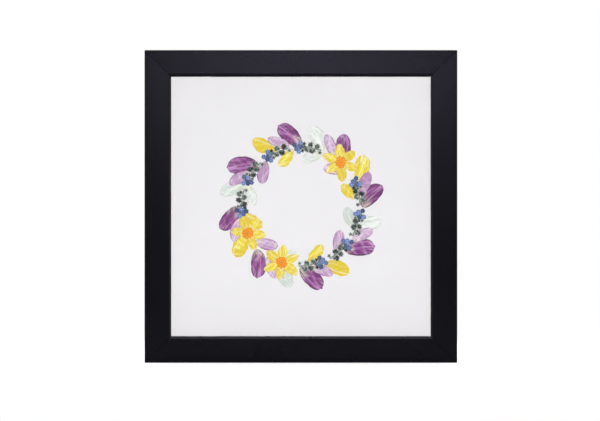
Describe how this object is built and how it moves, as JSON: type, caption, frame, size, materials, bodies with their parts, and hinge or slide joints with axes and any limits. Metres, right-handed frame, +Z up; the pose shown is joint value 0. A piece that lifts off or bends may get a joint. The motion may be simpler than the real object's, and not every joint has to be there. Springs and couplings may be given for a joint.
{
  "type": "picture frame",
  "caption": "Square black picture frame with glass over a wreath of pressed flowers, turn buttons, a sawtooth hanger and a fold-out strut behind.",
  "frame": {"origin": "middle of the footprint at the bottom edge; the depth runs from the face of the moulding to the bumpers", "axes": "+X to the right seen from the front, +Y from the front to the back, +Z up"},
  "size_m": [0.294, 0.03, 0.294],
  "materials": {
    "black_moulding": "satin black lacquer",
    "wedge_steel": "bright steel",
    "clear_glass": "clear, polished",
    "black_spacer": "matte black",
    "watercolour_paper": "cold-pressed, slightly rough",
    "mount_board": "smooth, off-white",
    "filler_board": "smooth white facing on foam",
    "hardboard": "smooth brown hardboard",
    "button_steel": "zinc plated, stamped",
    "screw_steel": "zinc plated",
    "hanger_steel": "thin brass plating",
    "bumper_rubber": "matte",
    "hinge_steel": "nickel plated, stamped",
    "dark_hardboard": "black faced hardboard",
    "purple_petals": "dry, veined",
    "lilac_petals": "dry, veined",
    "yellow_petals": "dry, crinkled",
    "white_petals": "dry, slightly translucent",
    "trumpet_tepals": "dry, creased",
    "trumpet_cups": "dry, frilled",
    "sprig_stems": "dry, hairy",
    "sprig_buds": "dry, hairy",
    "blue_blossoms": "dry"
  },
  "bodies": {
    "frame": {"bottom_rail": "black_moulding", "left_rail": "black_moulding", "top_rail": "black_moulding", "right_rail": "black_moulding", "mitre_wedges": "wedge_steel", "glazing": "clear_glass", "spacer_top": "black_spacer", "spacer_bottom": "black_spacer", "spacer_left": "black_spacer", "spacer_right": "black_spacer", "art_paper": "watercolour_paper", "mount_board": "mount_board", "filler_board": "filler_board", "backing_board": "hardboard", "button_screws": "screw_steel", "sawtooth_hanger": "hanger_steel", "hanger_nails": "hanger_steel", "bumper_left": "bumper_rubber", "bumper_right": "bumper_rubber", "hinge_fixed_leaf": "hinge_steel", "hinge_pin": "hinge_steel", "backing_rivets": "hinge_steel", "purple_petals": "purple_petals", "lilac_petals": "lilac_petals", "yellow_petals": "yellow_petals", "white_petals": "white_petals", "trumpet_tepals": "trumpet_tepals", "trumpet_cups": "trumpet_cups", "sprig_stems": "sprig_stems", "sprig_buds": "sprig_buds", "blue_blossoms": "blue_blossoms"},
    "turn_button_bottom_left": {"turn_button_bottom_left": "button_steel"},
    "turn_button_bottom_right": {"turn_button_bottom_right": "button_steel"},
    "turn_button_left_upper": {"turn_button_left_upper": "button_steel"},
    "turn_button_left_lower": {"turn_button_left_lower": "button_steel"},
    "turn_button_top_right": {"turn_button_top_right": "button_steel"},
    "turn_button_top_left": {"turn_button_top_left": "button_steel"},
    "turn_button_right_lower": {"turn_button_right_lower": "button_steel"},
    "turn_button_right_upper": {"turn_button_right_upper": "button_steel"},
    "strut": {"strut_leg": "dark_hardboard", "hinge_moving_leaf": "hinge_steel", "strut_rivets": "hinge_steel"}
  },
  "joints": [
    {"name": "turn_bottom_left", "type": "hinge", "parent": "frame", "child": "turn_button_bottom_left", "pos_m": [-0.065, 0.0106, 0.0115], "axis": [0, 1, 0], "range_deg": [-90, 90]},
    {"name": "turn_bottom_right", "type": "hinge", "parent": "frame", "child": "turn_button_bottom_right", "pos_m": [0.065, 0.0106, 0.0115], "axis": [0, 1, 0], "range_deg": [-90, 90]},
    {"name": "turn_left_upper", "type": "hinge", "parent": "frame", "child": "turn_button_left_upper", "pos_m": [-0.1355, 0.0106, 0.212], "axis": [0, 1, 0], "range_deg": [-90, 90]},
    {"name": "turn_left_lower", "type": "hinge", "parent": "frame", "child": "turn_button_left_lower", "pos_m": [-0.1355, 0.0106, 0.082], "axis": [0, 1, 0], "range_deg": [-90, 90]},
    {"name": "turn_top_right", "type": "hinge", "parent": "frame", "child": "turn_button_top_right", "pos_m": [0.065, 0.0106, 0.2825], "axis": [0, 1, 0], "range_deg": [-90, 90]},
    {"name": "turn_top_left", "type": "hinge", "parent": "frame", "child": "turn_button_top_left", "pos_m": [-0.065, 0.0106, 0.2825], "axis": [0, 1, 0], "range_deg": [-90, 90]},
    {"name": "turn_right_lower", "type": "hinge", "parent": "frame", "child": "turn_button_right_lower", "pos_m": [0.1355, 0.0106, 0.082], "axis": [0, 1, 0], "range_deg": [-90, 90]},
    {"name": "turn_right_upper", "type": "hinge", "parent": "frame", "child": "turn_button_right_upper", "pos_m": [0.1355, 0.0106, 0.212], "axis": [0, 1, 0], "range_deg": [-90, 90]},
    {"name": "strut_fold", "type": "hinge", "parent": "frame", "child": "strut", "pos_m": [0, 0.0122, 0.2], "axis": [1, 0, 0], "range_deg": [0, 25]}
  ]
}
